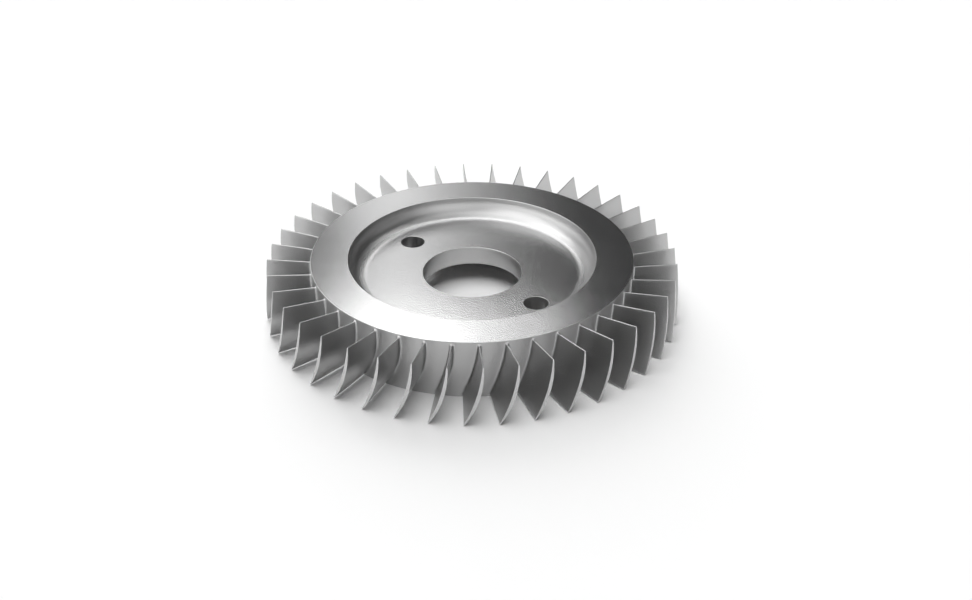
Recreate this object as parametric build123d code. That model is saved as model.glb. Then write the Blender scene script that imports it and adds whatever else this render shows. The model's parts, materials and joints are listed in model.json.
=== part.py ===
from build123d import *
import os
from math import cos, pi, radians, sin, tan

os.makedirs("parts", exist_ok=True)

# Disk. Its axis is Z, and the lower face of the rim stands on z = 0. The hollow corner of each
# dish is drawn with flats.
rim_radius = 79.0
rim_width = 18.3
upper_dish_depth = 9.5
web_thickness = 9.5
lower_dish_depth = 10.3
dish_corner_radius = 9.0
dish_corner_flats = 5
bore_radius = 24.3

# Two bolt holes through the web, opposite each other
hole_radius = 6.0
hole_circle_radius = 42.8
hole_count = 2
first_hole_angle = 135.0

# Row of blades. Every section is a thin aerofoil on a circular camber line that leaves the
# leading edge almost along the axis and turns clockwise, seen from above, towards the trailing edge.
blade_count = 40
blade_height = 22.2
inlet_angle = 0.8
outlet_angle = 31.4
tip_slope_angle = 3.5

# Section at the rim. Drops go down from the rim's upper face and rises up from its lower face.
root_leading_drop = 2.0
root_trailing_rise = 1.6
root_leading_offset = 3.05
root_thickness = 2.1
root_leading_thickness = 0.6
root_trailing_thickness = 0.5

# Section at the tip
tip_leading_drop = -0.4
tip_trailing_rise = 0.7
tip_leading_offset = 4.5
tip_thickness = 1.62
tip_leading_thickness = 0.4
tip_trailing_thickness = 0.4

# The fillet round each root and the two thin edges of each blade are drawn with flats.
root_fillet_radius = 1.0
fillet_flats = 2
edge_flats = 2

# How far the foot of the fillet runs on under the rim's surface, and the place of the blade's
# middle section as a share of its height
foot_overrun = 0.6
middle_share = 0.5

# Angle of the start of the turned faces, in the gap between two blades
seam_angle = 4.0

dish_radius = rim_radius - rim_width
web_bottom = lower_dish_depth
web_top = web_bottom + web_thickness
rim_height = web_top + upper_dish_depth


def dish_corner(floor_height, depth, way):
    """Points of the corner between a dish's floor and its wall, which rises if way is 1 and drops if -1."""
    radius = min(dish_corner_radius, 0.95 * depth)
    points = []
    for i in range(dish_corner_flats + 1):
        angle = pi / 2 * i / dish_corner_flats
        height = floor_height + radius * (1 - cos(angle)) * way
        points.append((dish_radius - radius * (1 - sin(angle)), height))
    return points


def make_disk():
    """Turned disk with a dish in each side, a web with its bore, and the two bolt holes."""
    with BuildPart() as disk:
        with BuildSketch(Plane.XZ.rotated((0, 0, seam_angle))):
            with BuildLine():
                Polyline(
                    (bore_radius, web_top),
                    (bore_radius, web_bottom),
                    *dish_corner(web_bottom, lower_dish_depth, -1),
                    (dish_radius, 0),
                    (rim_radius, 0),
                    (rim_radius, rim_height),
                    (dish_radius, rim_height),
                    *reversed(dish_corner(web_top, upper_dish_depth, 1)),
                    close=True,
                )
            make_face()
        revolve(axis=Axis.Z)
        with Locations((0, 0, web_bottom)):
            with PolarLocations(hole_circle_radius, hole_count, first_hole_angle):
                Cylinder(
                    hole_radius,
                    web_thickness,
                    align=(Align.CENTER, Align.CENTER, Align.MIN),
                    mode=Mode.SUBTRACT,
                )
    return disk.part


def between(root_value, tip_value, share):
    return root_value + (tip_value - root_value) * share


def blade_section(share, plane, growth=0.0):
    """Outline of the blade at a share of its height, grown outwards all round by growth.

    The plane's x runs round the disk and its y runs up the axis from the rim's lower face.
    """
    leading_height = rim_height - between(root_leading_drop, tip_leading_drop, share)
    trailing_height = between(root_trailing_rise, tip_trailing_rise, share)
    leading_offset = between(root_leading_offset, tip_leading_offset, share)
    leading_half = between(root_leading_thickness, tip_leading_thickness, share) / 2 + growth
    middle_half = between(root_thickness, tip_thickness, share) / 2 + growth
    trailing_half = between(root_trailing_thickness, tip_trailing_thickness, share) / 2 + growth

    first_angle = radians(inlet_angle)
    last_angle = radians(outlet_angle)
    camber_radius = (leading_height - trailing_height) / (sin(last_angle) - sin(first_angle))

    def heading(angle):
        return Vector(-sin(angle), -cos(angle))

    def camber_point(angle, aside=0.0, ahead=0.0):
        start = Vector(leading_offset, leading_height)
        turned = Vector(cos(angle) - cos(first_angle), sin(first_angle) - sin(angle)) * camber_radius
        return start + turned + Vector(cos(angle), -sin(angle)) * aside + heading(angle) * ahead

    reach = camber_radius * tan((last_angle - first_angle) / 4) * 4 / 3
    bulge = (middle_half - (leading_half + trailing_half) / 2) * 4 / 3

    def side(way):
        return [
            camber_point(first_angle, leading_half * way),
            camber_point(first_angle, (leading_half + bulge) * way, reach),
            camber_point(last_angle, (trailing_half + bulge) * way, -reach),
            camber_point(last_angle, trailing_half * way),
        ]

    def edge(angle, half, way):
        steps = [pi * i / edge_flats for i in range(edge_flats + 1)]
        return [camber_point(angle, half * cos(step) * way, half * sin(step) * way) for step in steps]

    with BuildSketch(plane) as outline:
        with BuildLine():
            Bezier(*side(1))
            Polyline(*edge(last_angle, trailing_half, 1))
            Bezier(*reversed(side(-1)))
            Polyline(*edge(first_angle, leading_half, -1))
        make_face()
    return outline.sketch


def section_plane(height, slope_angle=0.0):
    """Plane across the blade at a height above the rim, leaning outwards towards the trailing edge."""
    slope = radians(slope_angle)
    foot = rim_radius + height + rim_height / 2 * tan(slope)
    return Plane(origin=(foot, 0, 0), x_dir=(0, 1, 0), z_dir=(cos(slope), 0, sin(slope)))


def make_blade():
    """One blade on the X axis, from under the rim's surface up to its tip."""
    sections = []
    for i in range(fillet_flats, -1, -1):
        angle = pi / 2 * i / fillet_flats
        growth = root_fillet_radius * (1 - cos(angle))
        height = root_fillet_radius * (1 - sin(angle))
        if i == fillet_flats:
            last = pi / 2 * (i - 1) / fillet_flats
            foot_slope = (1 - sin(last)) / cos(last)
            growth += foot_overrun
            height -= foot_overrun * foot_slope
        sections.append(blade_section(0, section_plane(height), growth))
    for share in (middle_share, 1):
        sections.append(blade_section(share, section_plane(blade_height * share, tip_slope_angle * share)))
    blade = loft(sections, ruled=True)
    return split(blade, bisect_by=Plane.XY, keep=Keep.TOP)


def make_blisk():
    """Disk and blades in one solid."""
    blade = make_blade()
    blades = [blade.rotate(Axis.Z, 360 / blade_count * i) for i in range(blade_count)]
    return make_disk() + blades


blisk = make_blisk()
export_step(blisk, "parts/blisk.step")
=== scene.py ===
import json
import math

import bmesh
import bpy
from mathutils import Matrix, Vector


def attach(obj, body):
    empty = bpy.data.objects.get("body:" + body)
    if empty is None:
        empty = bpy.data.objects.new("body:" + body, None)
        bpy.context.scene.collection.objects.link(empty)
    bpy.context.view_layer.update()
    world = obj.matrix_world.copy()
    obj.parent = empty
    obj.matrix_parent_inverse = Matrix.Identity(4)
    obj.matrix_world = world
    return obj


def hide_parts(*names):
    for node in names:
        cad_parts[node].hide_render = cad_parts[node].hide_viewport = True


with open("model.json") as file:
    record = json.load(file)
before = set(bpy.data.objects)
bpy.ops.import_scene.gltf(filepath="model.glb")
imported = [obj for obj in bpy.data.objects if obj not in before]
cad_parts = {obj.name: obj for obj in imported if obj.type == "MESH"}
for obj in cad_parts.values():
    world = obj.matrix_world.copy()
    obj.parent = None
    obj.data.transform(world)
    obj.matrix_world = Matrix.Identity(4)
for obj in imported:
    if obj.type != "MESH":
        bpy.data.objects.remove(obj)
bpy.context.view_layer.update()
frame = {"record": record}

mounts = {mount["name"]: mount for mount in frame["record"]["mounts"]}
mm = 0.001        # lengths below are in millimetres, unless a note says metres
print("frame loaded")


# Disk: what the frame states is read from it
disk = {
    "rimRadius": 79.0,
    "rimWidth": 18.3,
    "rimHeight": mounts["upper_rim_face"]["pos_m"][2] / mm,
    "webMiddle": mounts["bore"]["pos_m"][2] / mm,
    "webThickness": mounts["bore"]["dims"]["length_mm"],
    "boreRadius": mounts["bore"]["dims"]["r_mm"],
    "cornerRadius": 9.0,
    "cornerSteps": 14,
    "edgeBreak": 0.15,        # how far each turned edge is broken
    "edgeMargin": 0.5,        # narrow face kept beside each edge, so that flats shade flat
}

# The two bolt holes, each cut in its own stretch of web. Their angles are in degrees.
boltHoles = {
    "radius": mounts["bolt_holes"]["dims"]["hole_r_mm"],
    "circleRadius": mounts["bolt_holes"]["dims"]["pcd_mm"] / 2,
    "angles": (135.0, 315.0),
    "patchInner": 35.0,       # radii between which that stretch lies
    "patchOuter": 50.6,
    "patchHalfSteps": 9,      # how far it runs to each side of the hole, in ring steps
    "edgeBreak": 0.12,
}

# Row of blades. Angles are in degrees, and a pair of sizes is at the root and at the tip.
blade = {
    "count": 40,
    "rootFillet": 1.0,
    "inletAngle": 0.8,
    "outletAngle": 31.4,
    "leadingDrop": (2.0, -0.4),       # from the rim's upper face down to the leading edge
    "trailingRise": (1.6, 0.7),       # from the rim's lower face up to the trailing edge
    "leadingOffset": (3.05, 4.5),     # how far the leading edge stands aside
    "leadingThickness": (0.6, 0.4),
    "middleThickness": (2.1, 1.62),
    "trailingThickness": (0.5, 0.4),
    "tipRadius": (100.05, 101.68),    # at the leading and at the trailing edge
    "tipCrown": 0.44,                 # how far the middle of the tip stands out between them
    "tipSlope": 3.5,
    "sideSteps": 24,                  # along each side of a blade
    "edgeSteps": 8,                   # round its thin edges, and on the rim from one blade to the next
    "filletSteps": 5,
    "heightSteps": 7,
    "patchSteps": 3,                  # on the rim, from a passage to the toe of a fillet
    "topShift": 2,                    # where the passages meet the rim's edges, in ring steps
    "bottomShift": -3,
    "shiftBend": 0.85,                # how much of that shift follows a curve
}

sharpAngle = 32.0        # degrees between two faces from which their edge shades sharp
ringSteps = blade["count"] * blade["edgeSteps"]
stepAngle = 2 * math.pi / ringSteps
webTop = disk["webMiddle"] + disk["webThickness"] / 2
webBottom = disk["webMiddle"] - disk["webThickness"] / 2
dishRadius = disk["rimRadius"] - disk["rimWidth"]

points = []
faces = []


def addPoint(radius, angle, height):
    points.append((radius * math.cos(angle) * mm, radius * math.sin(angle) * mm, height * mm))
    return len(points) - 1


def addPoints(placed):
    first = len(points)
    points.extend(placed)
    return list(range(first, len(points)))


def addStrip(first, second):
    # closed band of faces between two loops of as many points
    for i in range(len(first)):
        k = (i + 1) % len(first)
        faces.append((first[i], first[k], second[k], second[i]))


def addStrips(loops):
    for first, second in zip(loops, loops[1:]):
        addStrip(first, second)


def addRing(radius, height):
    return [addPoint(radius, i * stepAngle, height) for i in range(ringSteps)]


def addObject(name, data):
    thing = bpy.data.objects.new(name, data)
    bpy.context.scene.collection.objects.link(thing)
    return thing


def addMaterial(name):
    material = bpy.data.materials.new(name)
    material.use_nodes = True
    return material, material.node_tree.nodes, material.node_tree.links


def between(pair, share):
    return pair[0] + (pair[1] - pair[0]) * share


def makeDiskSide(edgeHeight, webHeight, way):
    # rim face, dish corner and web on one side; way is 1 above and -1 below
    edge = disk["edgeBreak"]
    margin = edge + disk["edgeMargin"]
    corner = disk["cornerRadius"]
    outer = [
        (disk["rimRadius"], edgeHeight - edge * way),
        (disk["rimRadius"] - edge, edgeHeight),
        (disk["rimRadius"] - margin, edgeHeight),
        (dishRadius + margin, edgeHeight),
        (dishRadius + edge, edgeHeight),
        (dishRadius, edgeHeight - edge * way),
    ]
    for i in range(disk["cornerSteps"] + 1):
        turn = math.pi / 2 * i / disk["cornerSteps"]
        radius = dishRadius - corner * (1 - math.cos(turn))
        outer.append((radius, webHeight + corner * (1 - math.sin(turn)) * way))
    outer.append((dishRadius - corner - disk["edgeMargin"], webHeight))
    outer.append((boltHoles["patchOuter"], webHeight))
    inner = [
        (boltHoles["patchInner"], webHeight),
        (disk["boreRadius"] + margin, webHeight),
        (disk["boreRadius"] + edge, webHeight),
        (disk["boreRadius"], webHeight - edge * way),
    ]
    outerRings = [addRing(*place) for place in outer]
    innerRings = [addRing(*place) for place in inner]
    addStrips(outerRings)
    addStrips(innerRings)
    return {
        "rimRing": outerRings[0],
        "webOuter": outerRings[-1],
        "webInner": innerRings[0],
        "boreRing": innerRings[-1],
        "height": webHeight,
        "way": way,
    }


def makeHole(sides, angle):
    # one bolt hole and the web round it; gives the ring steps that this covers
    half = boltHoles["patchHalfSteps"]
    direction = math.radians(angle)
    middle = round(direction / stepAngle)
    steps = [(middle + i) % ringSteps for i in range(-half, half + 1)]
    centreX = boltHoles["circleRadius"] * math.cos(direction)
    centreY = boltHoles["circleRadius"] * math.sin(direction)
    walls = []
    for side in sides:
        border = [side["webOuter"][i] for i in steps] + [side["webInner"][i] for i in reversed(steps)]
        loops = [border]
        for grow, drop in ((boltHoles["edgeBreak"], 0), (0, boltHoles["edgeBreak"])):
            radius = boltHoles["radius"] + grow
            height = side["height"] - drop * side["way"]
            placed = []
            for i in range(len(border)):
                turn = direction + 2 * math.pi * (i - half) / len(border)
                x = centreX + radius * math.cos(turn)
                y = centreY + radius * math.sin(turn)
                placed.append((x * mm, y * mm, height * mm))
            loops.append(addPoints(placed))
        addStrips(loops)
        walls.append(loops[-1])
    addStrip(*walls)
    return steps[:-1]


def makeDisk():
    sides = [makeDiskSide(disk["rimHeight"], webTop, 1), makeDiskSide(0.0, webBottom, -1)]
    addStrip(sides[0]["boreRing"], sides[1]["boreRing"])
    covered = set()
    for angle in boltHoles["angles"]:
        covered.update(makeHole(sides, angle))
    for side in sides:
        outer, inner = side["webOuter"], side["webInner"]
        for i in range(ringSteps):
            if i not in covered:
                k = (i + 1) % ringSteps
                faces.append((outer[i], outer[k], inner[k], inner[i]))
    return sides[0]["rimRing"], sides[1]["rimRing"]


def edgeHeights(share):
    # heights of the leading and the trailing edge at a share of the blade's height
    leadingHeight = disk["rimHeight"] - between(blade["leadingDrop"], share)
    return leadingHeight, between(blade["trailingRise"], share)


def sectionLoop(share, growth=0.0):
    # outline of the blade on a circular camber line: x runs round the disk and y up the axis
    leadingHeight, trailingHeight = edgeHeights(share)
    leadingHalf = between(blade["leadingThickness"], share) / 2 + growth
    middleHalf = between(blade["middleThickness"], share) / 2 + growth
    trailingHalf = between(blade["trailingThickness"], share) / 2 + growth
    inlet = math.radians(blade["inletAngle"])
    outlet = math.radians(blade["outletAngle"])
    camberRadius = (leadingHeight - trailingHeight) / (math.sin(outlet) - math.sin(inlet))
    start = Vector((between(blade["leadingOffset"], share), leadingHeight))

    def camberPoint(angle, aside, ahead):
        turned = Vector((math.cos(angle) - math.cos(inlet), math.sin(inlet) - math.sin(angle)))
        across = Vector((math.cos(angle), -math.sin(angle)))
        along = Vector((-math.sin(angle), -math.cos(angle)))
        return start + turned * camberRadius + across * aside + along * ahead

    # how far a side's curve is pulled along the camber and out to its middle thickness
    reach = camberRadius * math.tan((outlet - inlet) / 4) * 4 / 3
    bulge = (middleHalf - (leadingHalf + trailingHalf) / 2) * 4 / 3

    def side(way):
        # points along a cubic curve; way is 1 on one side of the camber line and -1 on the other
        first = camberPoint(inlet, leadingHalf * way, 0)
        firstPull = camberPoint(inlet, (leadingHalf + bulge) * way, reach)
        lastPull = camberPoint(outlet, (trailingHalf + bulge) * way, -reach)
        last = camberPoint(outlet, trailingHalf * way, 0)
        line = []
        for i in range(blade["sideSteps"] + 1):
            t = i / blade["sideSteps"]
            s = 1 - t
            line.append(first * s ** 3 + firstPull * 3 * t * s ** 2
                        + lastPull * 3 * t ** 2 * s + last * t ** 3)
        return line

    def edge(angle, half, way):
        turns = [math.pi * i / blade["edgeSteps"] for i in range(1, blade["edgeSteps"])]
        return [camberPoint(angle, half * math.cos(t) * way, half * math.sin(t) * way) for t in turns]

    return side(1) + edge(outlet, trailingHalf, 1) + side(-1)[::-1] + edge(inlet, leadingHalf, -1)


def tipRadiusAt(height):
    leadingHeight, trailingHeight = edgeHeights(1)
    share = (leadingHeight - height) / (leadingHeight - trailingHeight)
    return between(blade["tipRadius"], share) + blade["tipCrown"] * 4 * share * (1 - share)


def placeLoop(loop, radii, tilt, turn):
    # wraps an outline round the disk's axis at the given radii, and turns it to its blade
    placed = []
    for spot, radius in zip(loop, radii):
        x = math.sqrt(radius ** 2 - spot.x ** 2)
        placed.append((
            (x * math.cos(turn) - spot.x * math.sin(turn)) * mm,
            (x * math.sin(turn) + spot.x * math.cos(turn)) * mm,
            spot.y * math.cos(tilt) * mm,
        ))
    return placed


def bladeLoops():
    # outlines from the toe of the root fillet up to the tip, each with its radii and its tilt
    loops = []
    fillet = blade["rootFillet"]
    for i in range(blade["filletSteps"] + 1):
        turn = math.pi / 2 * i / blade["filletSteps"]
        loop = sectionLoop(0, fillet * (1 - math.sin(turn)))
        radius = disk["rimRadius"] + fillet * (1 - math.cos(turn))
        loops.append((loop, [radius] * len(loop), 0.0))
    for i in range(1, blade["heightSteps"] + 1):
        share = i / blade["heightSteps"]
        loop = sectionLoop(share)
        radii = [between((disk["rimRadius"] + fillet, tipRadiusAt(spot.y)), share) for spot in loop]
        loops.append((loop, radii, math.radians(blade["tipSlope"]) * share))
    return loops


def makePassage(number, topRing, bottomRing):
    # line of points down the rim, midway between the blade of that number and the next
    first = blade["edgeSteps"] * number + blade["edgeSteps"] // 2
    line = [topRing[(first + blade["topShift"]) % ringSteps]]
    for i in range(1, blade["sideSteps"]):
        share = i / blade["sideSteps"]
        bend = (1 - blade["shiftBend"]) * share + blade["shiftBend"] * share * share
        shift = between((blade["topShift"], blade["bottomShift"]), bend)
        height = between((disk["rimHeight"] - disk["edgeBreak"], disk["edgeBreak"]), share)
        line.append(addPoint(disk["rimRadius"], (first + shift) * stepAngle, height))
    line.append(bottomRing[(first + blade["bottomShift"]) % ringSteps])
    return line


def makePatch(border, toe):
    # rim surface between the passages and the toe of one blade's fillet
    loops = [border]
    for k in range(1, blade["patchSteps"]):
        placed = []
        for outer, inner in zip(border, toe):
            spot = Vector(points[outer]).lerp(Vector(points[inner]), k / blade["patchSteps"])
            grow = disk["rimRadius"] * mm / math.hypot(spot.x, spot.y)        # back out onto the rim
            placed.append((spot.x * grow, spot.y * grow, spot.z))
        loops.append(addPoints(placed))
    addStrips(loops + [toe])


def makeTip(ring, tipLoop, turn):
    # tip face, closed over a spine of points midway between the two sides
    loop, _, tilt = tipLoop
    sideSteps, edgeSteps = blade["sideSteps"], blade["edgeSteps"]
    opposite = 2 * sideSteps + edgeSteps        # the outline's point across from its first one
    middle = [(loop[i] + loop[opposite - i]) / 2 for i in range(sideSteps + 1)]
    spine = addPoints(placeLoop(middle, [tipRadiusAt(spot.y) for spot in middle], tilt, turn))
    for i in range(sideSteps):
        faces.append((ring[i], ring[i + 1], spine[i + 1], spine[i]))
        faces.append((spine[i], spine[i + 1], ring[opposite - i - 1], ring[opposite - i]))
    for i in range(edgeSteps):
        faces.append((ring[sideSteps + i], ring[sideSteps + i + 1], spine[sideSteps]))
        faces.append((ring[opposite + i], ring[(opposite + i + 1) % len(ring)], spine[0]))


def makeBlades(topRing, bottomRing):
    count, edgeSteps = blade["count"], blade["edgeSteps"]
    loops = bladeLoops()
    passages = [makePassage(number, topRing, bottomRing) for number in range(count)]
    for number in range(count):
        turn = 2 * math.pi * number / count
        rings = [addPoints(placeLoop(loop, radii, tilt, turn)) for loop, radii, tilt in loops]
        lower = edgeSteps * number + blade["bottomShift"] + edgeSteps // 2
        upper = edgeSteps * number + blade["topShift"] - edgeSteps // 2
        border = list(passages[number])
        border += [bottomRing[(lower - i) % ringSteps] for i in range(1, edgeSteps)]
        border += passages[number - 1][::-1]
        border += [topRing[(upper + i) % ringSteps] for i in range(1, edgeSteps)]
        makePatch(border, rings[0])
        addStrips(rings)
        makeTip(rings[-1], loops[-1], turn)


def makeBlisk(material):
    topRing, bottomRing = makeDisk()
    print("disk drawn:", len(faces), "faces")
    makeBlades(topRing, bottomRing)
    mesh = bpy.data.meshes.new("bliskBody")
    mesh.from_pydata(points, [], faces)
    work = bmesh.new()
    work.from_mesh(mesh)
    bmesh.ops.recalc_face_normals(work, faces=work.faces)
    openEdges = sum(1 for edge in work.edges if not edge.is_manifold)
    work.to_mesh(mesh)
    work.free()
    mesh.shade_smooth()
    mesh.set_sharp_from_angle(angle=math.radians(sharpAngle))
    mesh.materials.append(material)
    print("blisk made:", len(mesh.polygons), "faces,", openEdges, "open edges")
    return addObject("bliskBody", mesh)


# Satin machined metal with a fine sandy grain. Sizes are in millimetres. A spots pair is the size of a
# noise's spots and its detail, and a levels pair is where in that noise a change starts and is full.
satin = {
    "colour": 0.5,
    "metallic": 0.95,
    "glintAndWearColour": 0.8,             # where edges are painted brighter: a painted edge highlight, and rubbed wear
    "edgeReach": 0.35,
    "edgeSamples": 6,
    "edgeMatch": (0.995, 0.93),    # cosine of softened to true normal, from no painted edge highlight and wear to full
    "wearSpots": (2.5, 3),         # the painted edge highlight and wear are weaker in places
    "wearLevels": (0.3, 0.55),
    "wearShares": (0.4, 1.0),      # of the painted edge highlight and wear, from least to most
    "flatRoughness": 0.2,          # of the flat turned faces
    "wallRoughness": 0.3,          # of the blades and other walls
    "flatSlopes": (0.8, 1.0),      # squared height of the normal, from walls to flats
    "patchSpots": (14.0, 4),       # areas that are a little duller or brighter
    "patchLevels": (0.3, 0.7),
    "patchSwing": 0.02,            # of the roughness
    "turningSpots": (0.5, 2),
    "turningDepth": 0.0012,
    "grainSpots": (0.7, 2),
    "grainDepth": 0.09,
}


def makeMetal():
    metal, nodes, links = addMaterial("machinedMetal")
    shader = nodes["Principled BSDF"]
    shader.inputs["Metallic"].default_value = satin["metallic"]

    def noise(vector, spots):
        size, detail = spots
        texture = nodes.new("ShaderNodeTexNoise")
        texture.inputs["Scale"].default_value = 1 / (size * mm)
        texture.inputs["Detail"].default_value = detail
        links.new(vector, texture.inputs["Vector"])
        return texture.outputs["Fac"]

    def mapped(value, levels, results):
        mapping = nodes.new("ShaderNodeMapRange")
        for name, number in zip(("From Min", "From Max", "To Min", "To Max"), levels + results):
            mapping.inputs[name].default_value = number
        links.new(value, mapping.inputs["Value"])
        return mapping.outputs["Result"]

    def combine(operation, first, second):
        step = nodes.new("ShaderNodeMath")
        step.operation = operation
        links.new(first, step.inputs[0])
        links.new(second, step.inputs[1])
        return step.outputs["Value"]

    def squared(value):
        return combine("MULTIPLY", value, value)

    def split(vector):
        parts = nodes.new("ShaderNodeSeparateXYZ")
        links.new(vector, parts.inputs["Vector"])
        return parts.outputs

    def relief(height, depth):
        bump = nodes.new("ShaderNodeBump")
        bump.inputs["Distance"].default_value = depth * mm
        links.new(height, bump.inputs["Height"])
        return bump

    coordinates = nodes.new("ShaderNodeTexCoord")
    place = coordinates.outputs["Object"]

    # painted edge highlight and rubbed wear: the colour is painted brighter where a softened normal
    # leaves the true one
    softened = nodes.new("ShaderNodeBevel")
    softened.samples = satin["edgeSamples"]
    softened.inputs["Radius"].default_value = satin["edgeReach"] * mm
    surface = nodes.new("ShaderNodeNewGeometry")
    match = nodes.new("ShaderNodeVectorMath")
    match.operation = "DOT_PRODUCT"
    links.new(softened.outputs["Normal"], match.inputs[0])
    links.new(surface.outputs["Normal"], match.inputs[1])
    glintAndRubbedEdges = mapped(match.outputs["Value"], satin["edgeMatch"], (0, 1))
    uneven = mapped(noise(place, satin["wearSpots"]), satin["wearLevels"], satin["wearShares"])
    glintAndWear = combine("MULTIPLY", glintAndRubbedEdges, uneven)
    # base colour painted brighter at the edges: a painted edge highlight, and rubbed wear
    toneWithGlintAndWear = mapped(glintAndWear, (0, 1), (satin["colour"], satin["glintAndWearColour"]))
    links.new(toneWithGlintAndWear, shader.inputs["Base Color"])

    # flat turned faces are smoother than the milled blades and the dish's hollow corner
    slope = squared(split(coordinates.outputs["Normal"])["Z"])
    finish = mapped(slope, satin["flatSlopes"], (satin["wallRoughness"], satin["flatRoughness"]))
    swing = satin["patchSwing"]
    patches = mapped(noise(place, satin["patchSpots"]), satin["patchLevels"], (-swing, swing))
    links.new(combine("ADD", finish, patches), shader.inputs["Roughness"])

    # turning marks: noise that changes only with the distance from the axis
    sides = split(place)
    radius = nodes.new("ShaderNodeMath")
    radius.operation = "SQRT"
    links.new(combine("ADD", squared(sides["X"]), squared(sides["Y"])), radius.inputs[0])
    ring = nodes.new("ShaderNodeCombineXYZ")
    links.new(radius.outputs["Value"], ring.inputs["X"])
    marks = relief(noise(ring.outputs["Vector"], satin["turningSpots"]), satin["turningDepth"])

    # sandy grain, on top of the marks
    grain = relief(noise(place, satin["grainSpots"]), satin["grainDepth"])
    links.new(marks.outputs["Normal"], grain.inputs["Normal"])
    links.new(grain.outputs["Normal"], shader.inputs["Normal"])
    return metal


# Floor of white paper, with its size in metres
paper = {
    "halfSize": 3.0,
    "colour": (1, 1, 1, 1),
    "roughness": 1.0,
    "shine": 0.0,
}


def makeFloor():
    half = paper["halfSize"]
    corners = [(-half, -half, 0), (half, -half, 0), (half, half, 0), (-half, half, 0)]
    mesh = bpy.data.meshes.new("floor")
    mesh.from_pydata(corners, [], [(0, 1, 2, 3)])
    material, nodes, _ = addMaterial("whitePaper")
    shader = nodes["Principled BSDF"]
    shader.inputs["Base Color"].default_value = paper["colour"]
    shader.inputs["Roughness"].default_value = paper["roughness"]
    shader.inputs["Specular IOR Level"].default_value = paper["shine"]
    mesh.materials.append(material)
    return addObject("floor", mesh)


# Lamps that light the floor: together they bring white paper up to white. Here and below, angles are in
# degrees. An azimuth of 0 is the camera's right, and 90 is behind the part.
lamps = {
    "overhead": {"azimuth": 190, "elevation": 83, "spread": 58, "strength": 2.05},
    "behind": {"azimuth": 104, "elevation": 27, "spread": 52, "strength": 2.25},
    "frontRight": {"azimuth": 320, "elevation": 12, "spread": 40, "strength": 0.25},
}


def aimFrom(azimuth, elevation):
    around, up = math.radians(azimuth), math.radians(elevation)
    return Vector((math.cos(up) * math.cos(around), math.cos(up) * math.sin(around), math.sin(up)))


def makeLamps():
    for name, lamp in lamps.items():
        light = bpy.data.lights.new(name, "SUN")
        light.energy = lamp["strength"]
        light.angle = math.radians(lamp["spread"])
        holder = addObject(name, light)
        holder.rotation_mode = "QUATERNION"
        holder.rotation_quaternion = aimFrom(lamp["azimuth"], lamp["elevation"]).to_track_quat("Z", "Y")
        holder.visible_glossy = False
    print("lamps set:", len(lamps))


# Softboxes on two domes round the part, seen by the metal alone. Each dome has its radius in metres, and
# each softbox fades to nothing at its edges, over its soft degrees across and up.
domes = {
    "near": {
        "radius": 0.18,
        "softboxes": {
            "backLeft": {"azimuth": (95, 135), "elevation": (15, 70), "soft": (30, 10), "strength": 0.35},
            "backHigh": {"azimuth": (55, 135), "elevation": (47, 60), "soft": (8, 5), "strength": 2.2},
            "backLow": {"azimuth": (80, 130), "elevation": (16, 34), "soft": (25, 9), "strength": 1.3},
            "leftTop": {"azimuth": (105, 255), "elevation": (40, 90), "soft": (20, 8), "strength": 0.8},
        },
    },
    "far": {
        "radius": 0.45,
        "softboxes": {
            "ceiling": {"azimuth": (75, 250), "elevation": (35, 90), "soft": (15, 8), "strength": 1.2},
            "leftLow": {"azimuth": (105, 265), "elevation": (0, 12), "soft": (10, 10), "strength": 2.6},
            "left": {"azimuth": (120, 280), "elevation": (0, 50), "soft": (60, 30), "strength": 1.6},
            "front": {"azimuth": (235, 350), "elevation": (0, 75), "soft": (50, 30), "strength": 1.1},
            "zenith": {"azimuth": (245, 395), "elevation": (55, 90), "soft": (25, 20), "strength": 1.0},
            "backStrip": {"azimuth": (88, 108), "elevation": (28, 54), "soft": (10, 8), "strength": 2.0},
            "right": {"azimuth": (-35, 35), "elevation": (5, 50), "soft": (25, 15), "strength": 0.3},
            "backRight": {"azimuth": (80, 94), "elevation": (16, 34), "soft": (7, 9), "strength": 0.7},
        },
    },
}
boxStep = 2.0        # degrees between the points of a softbox


def makeGlow():
    # clear panels that give off light by the level at each of their points
    glow, nodes, links = addMaterial("softbox")
    nodes.clear()
    level = nodes.new("ShaderNodeAttribute")
    level.attribute_name = "level"
    light = nodes.new("ShaderNodeEmission")
    clear = nodes.new("ShaderNodeBsdfTransparent")
    both = nodes.new("ShaderNodeAddShader")
    out = nodes.new("ShaderNodeOutputMaterial")
    links.new(level.outputs["Fac"], light.inputs["Strength"])
    links.new(light.outputs["Emission"], both.inputs[0])
    links.new(clear.outputs["BSDF"], both.inputs[1])
    links.new(both.outputs["Shader"], out.inputs["Surface"])
    return glow


def fade(distance, width):
    share = max(0.0, min(1.0, distance / width))
    return share * share * (3 - 2 * share)


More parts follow.
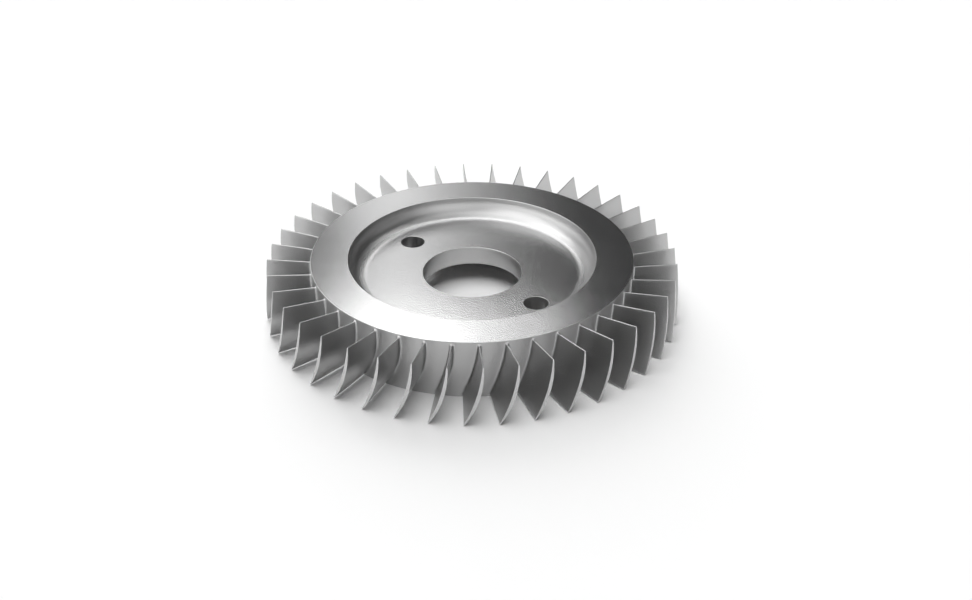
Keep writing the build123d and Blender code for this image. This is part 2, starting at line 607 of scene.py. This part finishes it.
def makeSoftbox(name, box, radius, glow):
    (left, right), (low, high) = box["azimuth"], box["elevation"]
    softAcross, softUp = box["soft"]
    columns = math.ceil((right - left) / boxStep)
    rows = math.ceil((high - low) / boxStep)
    corners, levels, quads = [], [], []
    for i in range(rows + 1):
        for k in range(columns + 1):
            elevation = between((low, high), i / rows)
            azimuth = between((left, right), k / columns)
            level = box["strength"] * fade(min(azimuth - left, right - azimuth), softAcross)
            # an edge on the floor or at the top of the dome stays sharp
            if low > 0:
                level *= fade(elevation - low, softUp)
            if high < 90:
                level *= fade(high - elevation, softUp)
            corners.append(aimFrom(azimuth, elevation) * radius)
            levels.append(level)
            if i < rows and k < columns:
                first = i * (columns + 1) + k
                quads.append((first, first + 1, first + columns + 2, first + columns + 1))
    mesh = bpy.data.meshes.new(name)
    mesh.from_pydata(corners, [], quads)
    mesh.attributes.new("level", "FLOAT", "POINT").data.foreach_set("value", levels)
    mesh.materials.append(glow)
    panel = addObject(name, mesh)
    panel.visible_camera = False
    panel.visible_diffuse = False
    panel.visible_shadow = False
    panel.visible_transmission = False


def makeSoftboxes():
    glow = makeGlow()
    for domeName, dome in domes.items():
        for name, box in dome["softboxes"].items():
            makeSoftbox(name, box, dome["radius"], glow)
        print(domeName, "softboxes hung:", len(dome["softboxes"]))


# Faint even light from all round
sky = {"colour": (1, 1, 1, 1), "strength": 0.03}


def makeWorld():
    world = bpy.data.worlds.new("studio")
    bpy.context.scene.world = world
    world.use_nodes = True
    background = world.node_tree.nodes["Background"]
    background.inputs["Color"].default_value = sky["colour"]
    background.inputs["Strength"].default_value = sky["strength"]


# Camera: place and aim in metres
shot = {
    "place": (0, -0.6154, 0.3785),
    "aim": (0.00681, 0, 0.00322),
    "lens": 53.44,
}


def makeCamera():
    data = bpy.data.cameras.new("camera")
    data.lens = shot["lens"]
    camera = addObject("camera", data)
    camera.location = shot["place"]
    camera.rotation_mode = "QUATERNION"
    camera.rotation_quaternion = (Vector(shot["aim"]) - Vector(shot["place"])).to_track_quat("-Z", "Y")
    bpy.context.scene.camera = camera
    bpy.context.scene.view_settings.view_transform = "Standard"


body = makeBlisk(makeMetal())
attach(body, "root")
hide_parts("blisk")

floor = makeFloor()
makeLamps()
makeSoftboxes()
makeWorld()
makeCamera()
print("studio ready")
